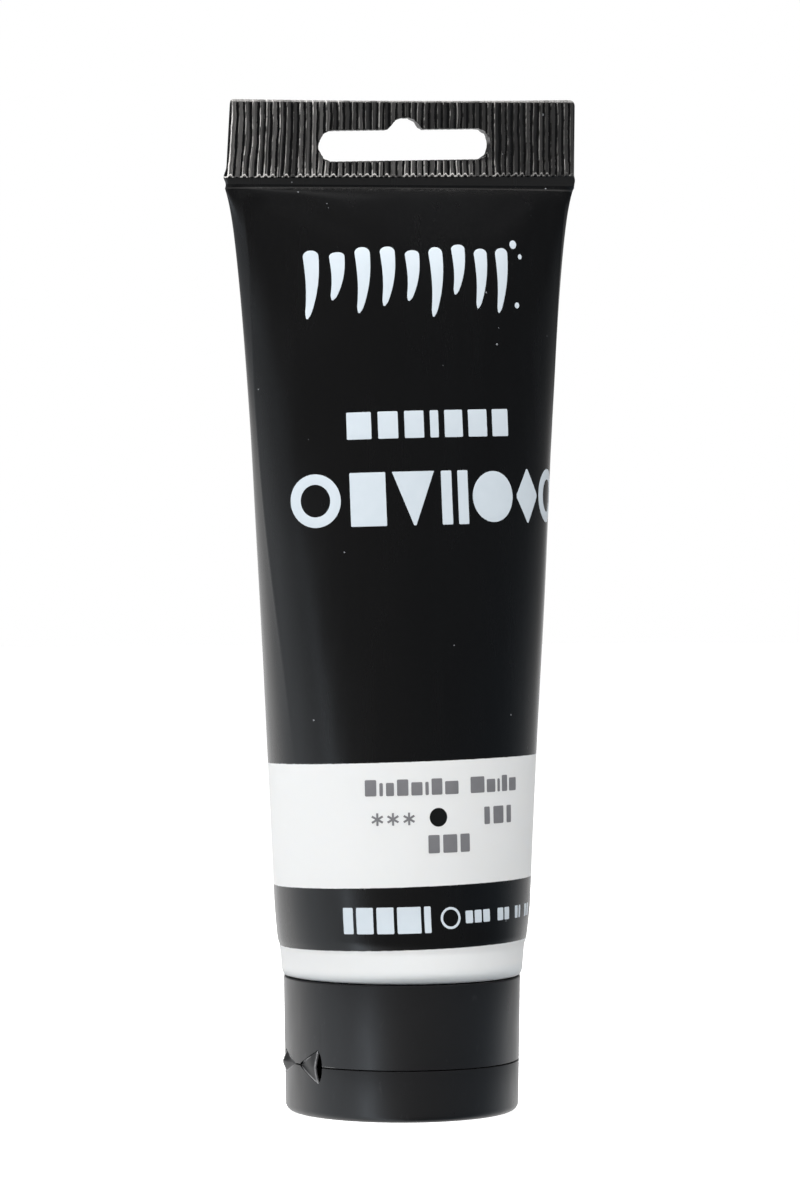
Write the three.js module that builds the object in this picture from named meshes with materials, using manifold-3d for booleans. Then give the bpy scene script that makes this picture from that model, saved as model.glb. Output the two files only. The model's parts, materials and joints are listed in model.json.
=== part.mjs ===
// A squeeze tube of artists' paint, standing on its flip-top screw cap.
// Millimetres, +Z up. The origin is the centre of the lid's flat end face, which the tube stands on.
// The neck points down into the cap, and the crimped, flat end of the tube is at the top.
// The printed front of the tube faces -Y, and the crimp runs along X.

import * as THREE from 'three';
import { mergeVertices } from 'three/addons/utils/BufferGeometryUtils.js';
import Module from 'manifold-3d';

// ---------------------------------------------------------------- driving dimensions

const tubeRadius = 20; // the round end of the sleeve, outside
const tubeWall = 0.5;
const totalHeight = 165.5; // at the middle of the crimp
const crimpHeight = 14.3;
const crimpThickness = 1;
const crimpTaper = 0.45; // how much narrower the crimp's top corners are, on each side
const bodySkew = 0.035; // the end was pressed out of square: its lines rise towards +X by this slope
const crimpSkew = 0.014; // further slope of the crimp itself
const ringPoints = 48;
const fillRingPoints = 24;

const slotWidth = 30.8; // hang slot for a display peg
const slotHeight = 5.05;
const slotRise = 4.3; // slot's lower edge above the bottom of the crimp
const slotShift = 0.3; // how far the slot was punched off the tube's middle, towards +X
const slotSkew = 0.012; // and how much more it slopes than the crimp
const humpWidth = 6.4;
const humpTopWidth = 2.4;
const humpHeight = 1.95;

const capHeight = 22;
const capTopRadius = 19.4;
const partingHeight = 8.35; // the plane between the lid and the cap, and the height of the lid's hinge
const partingGap = 0.3;
const partingRadius = 19.2;
const lidFootRadius = 19.05;
const lidFootRounding = 0.9;
const lidBaseRadius = 17.2; // the flat disc that the tube stands on; outside it the end lifts a little
const lidWall = 1.4;
const lidFloor = 1.5;
const capWall = 1.6;
const deckThickness = 1.4;
const roundSegments = 48;

const neckRadius = 8.8;
const neckBore = 7.2;
const neckMouth = 11.9;
const shoulderHeight = 22.15; // the sleeve's turned-in edge rests just above the cap's rim
const foilThickness = 0.2;

const threadPitch = 3;
const threadDepth = 1.2;
const threadClearance = 0.35;
const threadFootWidth = 1.9;
const threadCrestWidth = 0.8;
const neckThreadTurns = 1.75;
const capThreadTurns = 1.25;
const threadStart = 13.3;

const nozzleBore = 1.9;
const nozzleTip = 6.6;
const plugRadius = 1.5;
const collarTop = 20.2;
const moatRadius = 16.2; // a groove under the deck, inside the bead that the lid clicks over
const beadRadius = 17.35;
const flangeRadius = 18.9; // where the tube's head is welded to the inside of the sleeve

const scoopDepth = 1; // thumb scoop in the cap's wall, opposite the hinge
const scoopHalfWidth = 8;
const scoopHalfHeight = 3.6;

const hingeAzimuth = THREE.MathUtils.degToRad(184.2); // from +X, towards +Y
const hingeRadius = 19.3; // distance of the straight hinge line from the axis
const wingLength = 5.3;
const wingHalfHeight = 2.75;
const wingThickness = 0.45;
const wingTipOffset = 1; // from the middle of the hinge to a wing's point
const wingCrestGap = 0.28; // from the hinge line to the edge of each half of a wing
const wingMargin = 0.35; // play between a wing and its pocket
const pocketFloor = 17.5; // radius that the pockets behind the wings reach in to

// ---------------------------------------------------------------- derived sizes

const crimpBottom = totalHeight - crimpHeight;
const crimpHalfWidth = (Math.PI / 2) * tubeRadius;
const roundEnd = 24.2; // above this height the sleeve starts to flatten
const lidTop = partingHeight - partingGap / 2;
const capBottom = partingHeight + partingGap / 2;
const deckTop = capBottom + deckThickness;
const threadCrest = neckRadius + threadDepth;
const collarBore = threadCrest + threadClearance;

const wasm = await Module();
wasm.setup();

// ---------------------------------------------------------------- geometry helpers

// Joins shared corners and makes the faces point outwards.
function closed(geometry) {
  const bare = geometry.clone();
  bare.deleteAttribute('normal');
  bare.deleteAttribute('uv');
  const merged = mergeVertices(bare, 1e-4);
  const corner = [new THREE.Vector3(), new THREE.Vector3(), new THREE.Vector3()];
  const index = merged.index.array;
  let volume = 0;
  for (let i = 0; i < index.length; i += 3) {
    corner.forEach((c, k) => c.fromBufferAttribute(merged.attributes.position, index[i + k]));
    volume += corner[0].dot(corner[1].cross(corner[2]));
  }
  if (volume < 0) {
    for (let i = 0; i < index.length; i += 3) {
      [index[i], index[i + 1]] = [index[i + 1], index[i]];
    }
  }
  return merged;
}

function toSolid(geometry) {
  const mesh = closed(geometry);
  const vertProperties = new Float32Array(mesh.attributes.position.array);
  const triVerts = new Uint32Array(mesh.index.array);
  return new wasm.Manifold(new wasm.Mesh({ numProp: 3, vertProperties, triVerts }));
}

function toGeometry(solid) {
  const mesh = solid.getMesh();
  const geometry = new THREE.BufferGeometry();
  geometry.setAttribute('position', new THREE.BufferAttribute(mesh.vertProperties, 3));
  geometry.setIndex(new THREE.BufferAttribute(mesh.triVerts, 1));
  geometry.computeVertexNormals();
  return geometry;
}

// A closed surface through rings of equally many points, with a fan over the first and the last ring.
function loft(rings) {
  const count = rings[0].length;
  const points = rings.flat();
  const index = [];
  for (let k = 0; k < rings.length - 1; k += 1) {
    for (let i = 0; i < count; i += 1) {
      const next = (i + 1) % count;
      const [a, b] = [k * count + i, k * count + next];
      const [c, d] = [(k + 1) * count + next, (k + 1) * count + i];
      index.push(a, b, c, a, c, d);
    }
  }
  for (const k of [0, rings.length - 1]) {
    const centre = new THREE.Vector3();
    rings[k].forEach((p) => centre.addScaledVector(p, 1 / count));
    points.push(centre);
    for (let i = 0; i < count; i += 1) {
      const [a, b] = [k * count + i, k * count + ((i + 1) % count)];
      index.push(points.length - 1, ...(k === 0 ? [b, a] : [a, b]));
    }
  }
  const geometry = new THREE.BufferGeometry().setFromPoints(points);
  geometry.setIndex(index);
  return closed(geometry);
}

// Turns an outline of [radius, height] pairs about Z. It starts and ends on the axis, or is closed here.
function turned(outline) {
  const points = outline.map(([radius, height]) => new THREE.Vector2(radius, height));
  if (outline[0][0] > 0) {
    points.push(points[0].clone());
  }
  return closed(new THREE.LatheGeometry(points, roundSegments).rotateX(Math.PI / 2));
}

function arc(centreRadius, centreHeight, radius, fromDegrees, toDegrees, steps) {
  return Array.from({ length: steps + 1 }, (_, i) => {
    const angle = THREE.MathUtils.degToRad(fromDegrees + ((toDegrees - fromDegrees) * i) / steps);
    return [centreRadius + radius * Math.cos(angle), centreHeight + radius * Math.sin(angle)];
  });
}

// ---------------------------------------------------------------- the sleeve's cross-sections

function ellipsePerimeter(a, b) {
  return Math.PI * (3 * (a + b) - Math.sqrt((3 * a + b) * (a + 3 * b)));
}

// The half depth of an ellipse whose perimeter is still that of the round tube.
function halfDepth(halfWidth) {
  let [low, high] = [0, tubeRadius];
  for (let i = 0; i < 40; i += 1) {
    const middle = (low + high) / 2;
    if (ellipsePerimeter(halfWidth, middle) > 2 * Math.PI * tubeRadius) {
      high = middle;
    } else {
      low = middle;
    }
  }
  return Math.max(low, crimpThickness / 2);
}

// The tube spreads almost evenly from its round end, and faster over the last few millimetres.
function section(share) {
  const swell = 0.06 * THREE.MathUtils.smoothstep(share, -0.02, 0.08);
  const spread = Math.min(1, swell + 0.74 * share + 0.13 * share ** 6 + 0.07 * share ** 40);
  const halfWidth = tubeRadius * (1 + (Math.PI / 2 - 1) * spread);
  return [halfWidth, halfDepth(halfWidth)];
}

// The height of a point of the sleeve, once its end has been pressed out of square.
function skewed(x, height) {
  const { smoothstep } = THREE.MathUtils;
  const slope = bodySkew * smoothstep(height, 60, 150);
  return height + x * (slope + crimpSkew * smoothstep(height, crimpBottom - 0.5, crimpBottom + 2));
}

// power 1 is an ellipse, and 0 a flat slab with bevelled ends.
function ring(halfWidth, depth, height, power = 1, count = ringPoints) {
  return Array.from({ length: count }, (_, i) => {
    const angle = (2 * Math.PI * i) / count;
    const sine = i % (count / 2) === 0 ? 0 : Math.sin(angle);
    const y = depth * Math.sign(sine) * Math.abs(sine) ** power;
    const x = halfWidth * Math.cos(angle);
    return new THREE.Vector3(x, y, skewed(x, height));
  });
}

// Rings from the round end to the crimp, closer together where the tube turns flat.
function bodyRings(inset, lastShare) {
  const steps = 12;
  return Array.from({ length: steps + 1 }, (_, k) => {
    const share = lastShare * Math.sin((k / steps) * (Math.PI / 2));
    const [halfWidth, depth] = section(share);
    const height = roundEnd + share * (crimpBottom - roundEnd);
    return ring(halfWidth - inset, Math.max(depth - inset, 0.1), height);
  });
}

// ---------------------------------------------------------------- tube pieces

function hangSlotOutline() {
  const low = crimpBottom + slotRise;
  const end = slotHeight / 2;
  const side = slotWidth / 2 - end;
  const top = low + slotHeight;
  const hump = top + humpHeight;
  const rightEnd = arc(side, low + end, end, -90, 90, 10);
  const leftEnd = arc(-side, low + end, end, 90, 270, 10);
  const edge = [...rightEnd, [humpWidth / 2, top]];
  edge.push([humpTopWidth / 2, hump], [-humpTopWidth / 2, hump], [-humpWidth / 2, top], ...leftEnd);
  return new THREE.Shape(edge.map(([x, height]) => {
    const sloping = skewed(x, height) + slotSkew * x;
    return new THREE.Vector2(x + slotShift, height === hump ? hump : sloping);
  }));
}

// One shell: inner surface from its closed upper end down to the shoulder, then the outside up to the crimp.
function tubeSleeve() {
  const lipRadius = 17.6;
  const lipCorner = 19.45;
  const bend = 2.5;
  const bendHeight = roundEnd - 0.6;
  const corner = arc(tubeRadius - bend, bendHeight, bend, -37, 0, 4);
  const inside = bodyRings(tubeWall, 0.985).reverse();
  const innerCorner = [
    ring(tubeRadius - tubeWall, tubeRadius - tubeWall, bendHeight),
    ring(lipCorner - tubeWall, lipCorner - tubeWall, shoulderHeight + tubeWall),
    ring(lipRadius, lipRadius, shoulderHeight + tubeWall),
  ];
  const outerCorner = [
    ring(lipRadius, lipRadius, shoulderHeight),
    ...corner.map(([radius, height]) => ring(radius, radius, Math.max(height, shoulderHeight))),
  ];
  const crimp = [
    ring(crimpHalfWidth, crimpThickness / 2, crimpBottom, 0),
    ring(crimpHalfWidth - crimpTaper, crimpThickness / 2, totalHeight, 0),
  ];
  const outside = bodyRings(0, 0.99);
  const body = loft([...inside, ...innerCorner, ...outerCorner, ...outside, ...crimp]);
  const cutDepth = 6;
  const settings = { depth: cutDepth, bevelEnabled: false };
  const slot = new THREE.ExtrudeGeometry(hangSlotOutline(), settings);
  slot.rotateX(Math.PI / 2).translate(0, cutDepth / 2, 0);
  return toGeometry(toSolid(body).subtract(toSolid(slot)));
}

// A helical ridge with a trapezium profile that fades in and out at its ends. The helix is right-handed.
function threadRidge(rootRadius, crestRadius, startHeight, turns) {
  const stepsPerTurn = 24;
  const steps = turns * stepsPerTurn;
  const embed = 0.3 * Math.sign(rootRadius - crestRadius);
  const rings = Array.from({ length: steps + 1 }, (_, i) => {
    const angle = (2 * Math.PI * i) / stepsPerTurn;
    const height = startHeight + (threadPitch * i) / stepsPerTurn;
    const fade = Math.min(1, 0.2 + Math.min(i, steps - i) / 4);
    const crest = rootRadius + (crestRadius - rootRadius) * fade;
    const foot = (threadFootWidth * fade) / 2;
    const top = (threadCrestWidth * fade) / 2;
    const corners = [[rootRadius + embed, -foot], [crest, -top], [crest, top], [rootRadius + embed, foot]];
    return corners.map(([radius, rise]) => {
      return new THREE.Vector3(radius * Math.cos(angle), radius * Math.sin(angle), height + rise);
    });
  });
  return loft(rings);
}

// Moulded shoulder and threaded neck, welded inside the end of the sleeve.
function tubeHead() {
  const shell = turned([
    [neckBore, neckMouth],
    [neckRadius - 0.4, neckMouth],
    [neckRadius, neckMouth + 0.4],
    [neckRadius, 21],
    [neckRadius + 0.9, 22.1],
    [flangeRadius - 0.3, 22.95],
    [flangeRadius, 23.3],
    [flangeRadius, 24.5],
    [flangeRadius - 0.5, 24.8],
    [neckRadius + 0.3, 23.9],
    [neckBore, 22.8],
  ]);
  const ridge = threadRidge(neckRadius, threadCrest, threadStart, neckThreadTurns);
  return toGeometry(toSolid(shell).add(toSolid(ridge)));
}

function foilSeal() {
  const radius = neckRadius - 0.4;
  const low = neckMouth - foilThickness;
  return turned([[0, low], [radius, low], [radius, neckMouth], [0, neckMouth]]);
}

// The paint fills the neck, the shoulder and the sleeve up to just below the crimp.
function paintFill() {
  const gap = 0.3;
  const inset = tubeWall + gap;
  const neck = [
    [neckBore - gap, neckMouth + 0.1],
    [neckBore - gap, 23.2],
    [neckRadius, 24.3],
    [18, 25.25],
    [18.9, 25.9],
  ];
  const shareAtFirst = 0.03;
  const steps = 10;
  const body = Array.from({ length: steps + 1 }, (_, k) => {
    const share = shareAtFirst + (0.95 - shareAtFirst) * Math.sin((k / steps) * (Math.PI / 2));
    const [halfWidth, depth] = section(share);
    const height = roundEnd + share * (crimpBottom - roundEnd);
    return ring(halfWidth - inset, depth - inset, height, 1, fillRingPoints);
  });
  const neckRings = neck.map(([radius, height]) => ring(radius, radius, height, 1, fillRingPoints));
  return loft([...neckRings, ...body]);
}

function sealingWasher() {
  const [low, high] = [deckTop + 0.15, neckMouth - foilThickness - 0.2];
  const [inner, outer] = [4.5, neckRadius];
  return turned([[inner, low], [outer, low], [outer, high], [inner, high]]);
}

// ---------------------------------------------------------------- cap pieces

// A triangle on one side of the hinge line: its tip is near the middle of the hinge. side is 1 for the
// cap's half and -1 for the lid's, and end is 1 for the wing nearer the front and -1 for the rear one.
function wingOutline(side, end, margin) {
  const tip = wingTipOffset - margin;
  const far = wingLength + margin;
  const outline = new THREE.Shape();
  outline.moveTo(end * tip, side * (wingCrestGap - margin));
  outline.lineTo(end * far, side * (wingCrestGap - margin));
  outline.lineTo(end * far, side * (wingHalfHeight + margin));
  outline.lineTo(end * tip, side * (wingCrestGap + 0.3 + margin));
  return outline;
}

// Cuts the pockets behind the two wings out of a round wall.
function withWingPockets(wall, side) {
  const outside = capTopRadius + 4;
  const reach = turned([[pocketFloor, 0], [outside, 0], [outside, capHeight], [pocketFloor, capHeight]]);
  let solid = toSolid(wall);
  for (const end of [-1, 1]) {
    const outline = wingOutline(side, end, wingMargin);
    const pocket = new THREE.ExtrudeGeometry(outline, { depth: 6, bevelEnabled: false });
    pocket.translate(0, 0, -4);
    pocket.applyMatrix4(hingeFrame());
    solid = solid.subtract(toSolid(pocket).intersect(toSolid(reach)));
  }
  return solid;
}

// Local X runs along the hinge line towards the front, local Y up, and local Z out from the cap.
function hingeFrame() {
  const outward = new THREE.Vector3(Math.cos(hingeAzimuth), Math.sin(hingeAzimuth), 0);
  const along = new THREE.Vector3(-outward.y, outward.x, 0);
  const frame = new THREE.Matrix4().makeBasis(along, new THREE.Vector3(0, 0, 1), outward.clone());
  return frame.setPosition(outward.multiplyScalar(hingeRadius).setZ(partingHeight));
}

// Skirt, deck with nozzle, threaded collar and the thumb scoop opposite the hinge.
function capBase() {
  const outline = [
    [nozzleBore, nozzleTip],
    [3, nozzleTip],
    [3.7, 7.9],
    [4.8, capBottom],
    [moatRadius, capBottom],
    [moatRadius, 7.3],
    [beadRadius - 0.25, 7.3],
    [beadRadius, 7.7],
    [beadRadius - 0.2, 8.1],
    [beadRadius - 0.2, capBottom],
    [partingRadius, capBottom],
    [capTopRadius, capHeight],
    [capTopRadius - 1.2, capHeight],
    [partingRadius - capWall, deckTop],
    [collarBore + 1.9, deckTop],
    [collarBore + 1.7, collarTop],
    [collarBore, collarTop],
    [collarBore, deckTop],
    [nozzleBore, deckTop],
  ];
  const capThreadStart = threadStart + threadPitch / 2;
  const ridge = threadRidge(collarBore, collarBore - threadDepth, capThreadStart, capThreadTurns);
  const scoop = new THREE.SphereGeometry(1, 24, 16);
  scoop.scale(scoopDepth, scoopHalfWidth, scoopHalfHeight);
  scoop.translate(partingRadius, 0, capBottom + 0.4);
  scoop.rotateZ(hingeAzimuth - Math.PI);
  const body = withWingPockets(turned(outline), 1).add(toSolid(ridge));
  return toGeometry(body.subtract(toSolid(scoop)));
}

// A flat-ended cup with a plug that closes the nozzle and a bead that clicks over the deck's rim.
function flipLid() {
  const foot = arc(lidFootRadius - lidFootRounding, lidFootRounding, lidFootRounding, -75, 0, 5);
  const inner = partingRadius - lidWall;
  const outline = [
    [0, 0],
    [lidBaseRadius, 0],
    ...foot,
    [partingRadius, lidTop],
    [inner, lidTop],
    [inner, 7.3],
    [inner - 0.2, 6.9],
    [inner, 6.5],
    [inner - 0.2, 2.4],
    [inner - 1.1, lidFloor],
    [plugRadius + 0.6, lidFloor],
    [plugRadius + 0.1, 2.4],
    [plugRadius, 7.8],
    [plugRadius - 0.4, 8.2],
    [0, 8.2],
  ];
  return toGeometry(withWingPockets(turned(outline), -1));
}

// Half of one web of the butterfly hinge: it leans from the hinge line back to the wall.
function hingeWing(side, end) {
  const settings = { depth: wingThickness, bevelEnabled: false };
  const web = new THREE.ExtrudeGeometry(wingOutline(side, end, 0), settings);
  return closed(web.translate(0, 0, -wingThickness));
}

// ---------------------------------------------------------------- materials

const finish = (color, roughness) => new THREE.MeshStandardMaterial({ color, roughness, metalness: 0 });
const printedPlastic = finish(0x17181a, 0.32);
const whitePlastic = finish(0xe8eaec, 0.45);
const capPlastic = finish(0x2e2e30, 0.5);
const foil = new THREE.MeshStandardMaterial({ color: 0xc9ccd0, roughness: 0.25, metalness: 1 });
const foam = finish(0xf2efe6, 0.9);
const paint = finish(0xf7f7f4, 0.55);

// ---------------------------------------------------------------- assembly

function piece(name, geometry, material) {
  const mesh = new THREE.Mesh(geometry, material);
  mesh.name = name;
  return mesh;
}

const tube = new THREE.Group();
tube.add(
  piece('tube_sleeve', tubeSleeve(), printedPlastic),
  piece('tube_head', tubeHead(), whitePlastic),
  piece('foil_seal', foilSeal(), foil),
  piece('paint_fill', paintFill(), paint),
);

const cap = new THREE.Group();
cap.add(
  piece('sealing_washer', sealingWasher(), foam),
  piece('cap_base', capBase(), capPlastic),
  piece('flip_lid', flipLid(), capPlastic),
);

// The four half webs stand in the hinge's own frame and lean on the hinge line.
const hinge = new THREE.Group();
hinge.applyMatrix4(hingeFrame());
const lean = Math.atan2(1, wingHalfHeight);
for (const [side, level] of [[1, 'cap'], [-1, 'lid']]) {
  for (const [end, place] of [[1, 'front'], [-1, 'rear']]) {
    const wing = piece(`hinge_wing_${place}_${level}`, hingeWing(side, end), capPlastic);
    wing.rotation.x = -side * lean;
    hinge.add(wing);
  }
}
cap.add(hinge);

const paintTube = new THREE.Group();
paintTube.add(tube, cap);

export default paintTube;
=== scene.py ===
"""A squeeze tube of artists' paint standing on its flip-top cap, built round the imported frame.

Lengths are in millimetres until a mesh is made; MM turns them into metres.
The crimp runs along X, the printed front faces -Y, and the tube stands on the lid at z = 0.
"""

import json
import math

import bmesh
import bpy
import numpy as np
from mathutils import Matrix, Vector, noise


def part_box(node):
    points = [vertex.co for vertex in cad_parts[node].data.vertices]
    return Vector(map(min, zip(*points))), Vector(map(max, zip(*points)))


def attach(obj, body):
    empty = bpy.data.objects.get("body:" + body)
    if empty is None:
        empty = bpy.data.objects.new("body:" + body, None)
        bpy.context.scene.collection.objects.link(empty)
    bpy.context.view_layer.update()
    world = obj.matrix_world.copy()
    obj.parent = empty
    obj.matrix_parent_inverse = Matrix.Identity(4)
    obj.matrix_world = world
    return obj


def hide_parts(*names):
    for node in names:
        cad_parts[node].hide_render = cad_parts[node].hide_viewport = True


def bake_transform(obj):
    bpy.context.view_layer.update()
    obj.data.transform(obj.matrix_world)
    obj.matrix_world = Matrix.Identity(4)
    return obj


MM = 0.001
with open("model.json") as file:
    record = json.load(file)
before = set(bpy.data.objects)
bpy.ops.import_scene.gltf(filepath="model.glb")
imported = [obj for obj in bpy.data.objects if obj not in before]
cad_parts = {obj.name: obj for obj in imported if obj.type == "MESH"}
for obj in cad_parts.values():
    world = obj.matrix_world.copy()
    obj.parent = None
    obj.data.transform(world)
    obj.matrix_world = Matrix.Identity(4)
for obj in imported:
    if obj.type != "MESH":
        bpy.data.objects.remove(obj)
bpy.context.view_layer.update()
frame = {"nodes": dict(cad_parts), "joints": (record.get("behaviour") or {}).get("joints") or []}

# ------------------------------------------------------------------ sizes from the frame

sleeve_low, sleeve_high = (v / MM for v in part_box("tube_sleeve"))
cap_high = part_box("cap_base")[1] / MM
lid_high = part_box("flip_lid")[1] / MM

TUBE_RADIUS = sleeve_high.y
GIRTH = 2 * math.pi * TUBE_RADIUS
BODY_SKEW = 0.035  # the flattened end was pressed a little out of square, so it rises towards +X
CRIMP_SKEW = 0.014  # and the crimp a little more
TOTAL_HEIGHT = sleeve_high.z - (BODY_SKEW + CRIMP_SKEW) * (GIRTH / 4 - 0.45)  # at the middle of the crimp
SHOULDER = sleeve_low.z
CAP_TOP = cap_high.z
CAP_RADIUS = cap_high.y
LID_RADIUS = lid_high.y

CRIMP_HEIGHT = 14.3
CRIMP_BOTTOM = TOTAL_HEIGHT - CRIMP_HEIGHT
SERRATION_BOTTOM = CRIMP_BOTTOM + 1.5
CRIMP_HALF = 0.5  # half the thickness of the pressed end
ROUND_END = SHOULDER + 2.05  # above this the sleeve starts to flatten

hinge_joint = next(j for j in frame["joints"] if j["name"] == "lid_hinge")
HINGE_POINT = Vector(hinge_joint["pos_m"]) / MM
HINGE_OUT = Vector((HINGE_POINT.x, HINGE_POINT.y, 0)).normalized()
HINGE_ALONG = Vector((-HINGE_OUT.y, HINGE_OUT.x, 0))  # towards the front of the tube
HINGE_RADIUS = HINGE_POINT.xy.length
PARTING = HINGE_POINT.z

VIEW_AZIMUTH = math.radians(-24)
VIEW_BACK = Vector((math.sin(VIEW_AZIMUTH), -math.cos(VIEW_AZIMUTH), 0))
VIEW_RIGHT = Vector((math.cos(VIEW_AZIMUTH), math.sin(VIEW_AZIMUTH), 0))


# ------------------------------------------------------------------ mesh helpers

def new_object(name, data):
    made = bpy.data.objects.new(name, data)
    bpy.context.scene.collection.objects.link(made)
    return made


def mesh_object(name, points, faces, material):
    """A piece from points in millimetres."""
    mesh = bpy.data.meshes.new(name)
    mesh.from_pydata([tuple(float(c) * MM for c in p) for p in points], [], faces)
    mesh.validate()
    mesh.update()
    if material is not None:
        mesh.materials.append(material)
    return new_object(name, mesh)


def ring_faces(rows, columns, ends="flat"):
    """Quads between rings of equally many points. The ends are closed flat, left open or joined."""
    faces = []
    for row in range(rows if ends == "joined" else rows - 1):
        low, high = row * columns, (row + 1) % rows * columns
        for column in range(columns):
            after = (column + 1) % columns
            faces.append((low + column, low + after, high + after, high + column))
    if ends == "flat":
        faces.append(tuple(reversed(range(columns))))
        faces.append(tuple(range((rows - 1) * columns, rows * columns)))
    return faces


def cut(piece, tool):
    """Cuts the tool's shape out of the piece and removes the tool."""
    step = piece.modifiers.new("cut", "BOOLEAN")
    step.operation = "DIFFERENCE"
    step.solver = "EXACT"
    step.object = tool
    graph = bpy.context.evaluated_depsgraph_get()
    mesh = bpy.data.meshes.new_from_object(piece.evaluated_get(graph))
    piece.modifiers.clear()
    piece.data = mesh
    bpy.data.objects.remove(tool)


def set_attribute(piece, name, values):
    """Stores one number on each point, for the material."""
    piece.data.attributes.new(name, "FLOAT", "POINT").data.foreach_set("value", np.asarray(values, float))


def sharpen(piece, degrees=32):
    """Shades smooth, with hard edges where the surface turns more than this."""
    piece.data.polygons.foreach_set("use_smooth", [True] * len(piece.data.polygons))
    piece.data.set_sharp_from_angle(angle=math.radians(degrees))


def smoothstep(low, high, value):
    share = np.clip((value - low) / (high - low), 0, 1)
    return share * share * (3 - 2 * share)


def fillet(corners, steps=5):
    """An outline from corners (radius, height, rounding), with an arc where rounding is above 0."""
    points = []
    count = len(corners)
    for i, (r, z, rounding) in enumerate(corners):
        here = np.array((r, z))
        if rounding <= 0 or i in (0, count - 1):
            points.append(here)
            continue
        before = np.array(corners[i - 1][:2]) - here
        after = np.array(corners[i + 1][:2]) - here
        before /= np.linalg.norm(before)
        after /= np.linalg.norm(after)
        half = math.acos(float(np.clip(before @ after, -1, 1))) / 2
        reach = rounding / math.tan(half)
        middle = (before + after) / np.linalg.norm(before + after)
        centre = here + middle * rounding / math.sin(half)
        start = here + before * reach - centre
        turn = math.pi - 2 * half
        sign = 1 if before[0] * after[1] - before[1] * after[0] < 0 else -1
        for k in range(steps + 1):
            angle = sign * turn * k / steps
            c, s = math.cos(angle), math.sin(angle)
            points.append(centre + np.array((c * start[0] - s * start[1], s * start[0] + c * start[1])))
    return points


def turned(name, outline, material, segments=160):
    """Turns an outline about Z. It starts and ends on the axis, or else it closes on itself."""
    on_axis = outline[0][0] < 1e-6
    rings = outline[1:-1] if on_axis else outline
    angles = np.arange(segments) * 2 * math.pi / segments
    points = [(r * math.cos(a), r * math.sin(a), z) for r, z in rings for a in angles]
    faces = ring_faces(len(rings), segments, "open" if on_axis else "joined")
    if on_axis:
        for end, row in ((outline[0], 0), (outline[-1], len(rings) - 1)):
            points.append((0, 0, end[1]))
            for i in range(segments):
                a, b = row * segments + i, row * segments + (i + 1) % segments
                faces.append((len(points) - 1, b, a) if row == 0 else (len(points) - 1, a, b))
    return facing_out(mesh_object(name, points, faces, material))


def facing_out(piece):
    """Turns the faces outwards, by the sign of the enclosed volume."""
    work = bmesh.new()
    work.from_mesh(piece.data)
    if work.calc_volume(signed=True) < 0:
        bmesh.ops.reverse_faces(work, faces=work.faces)
    work.to_mesh(piece.data)
    work.free()
    return piece


def put_on(piece, body, node=None):
    """The piece moves with this body, and may stand in for a node of the frame."""
    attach(piece, body)
    if node:
        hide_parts(node)


def prism(name, outline, low, high, placement):
    """A straight prism over an outline in the local XY plane, from low to high along local Z."""
    count = len(outline)
    points = [placement @ Vector((x, y, z)) for z in (low, high) for x, y in outline]
    return facing_out(mesh_object(name, points, ring_faces(2, count), None))


# ------------------------------------------------------------------ node helpers

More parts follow.
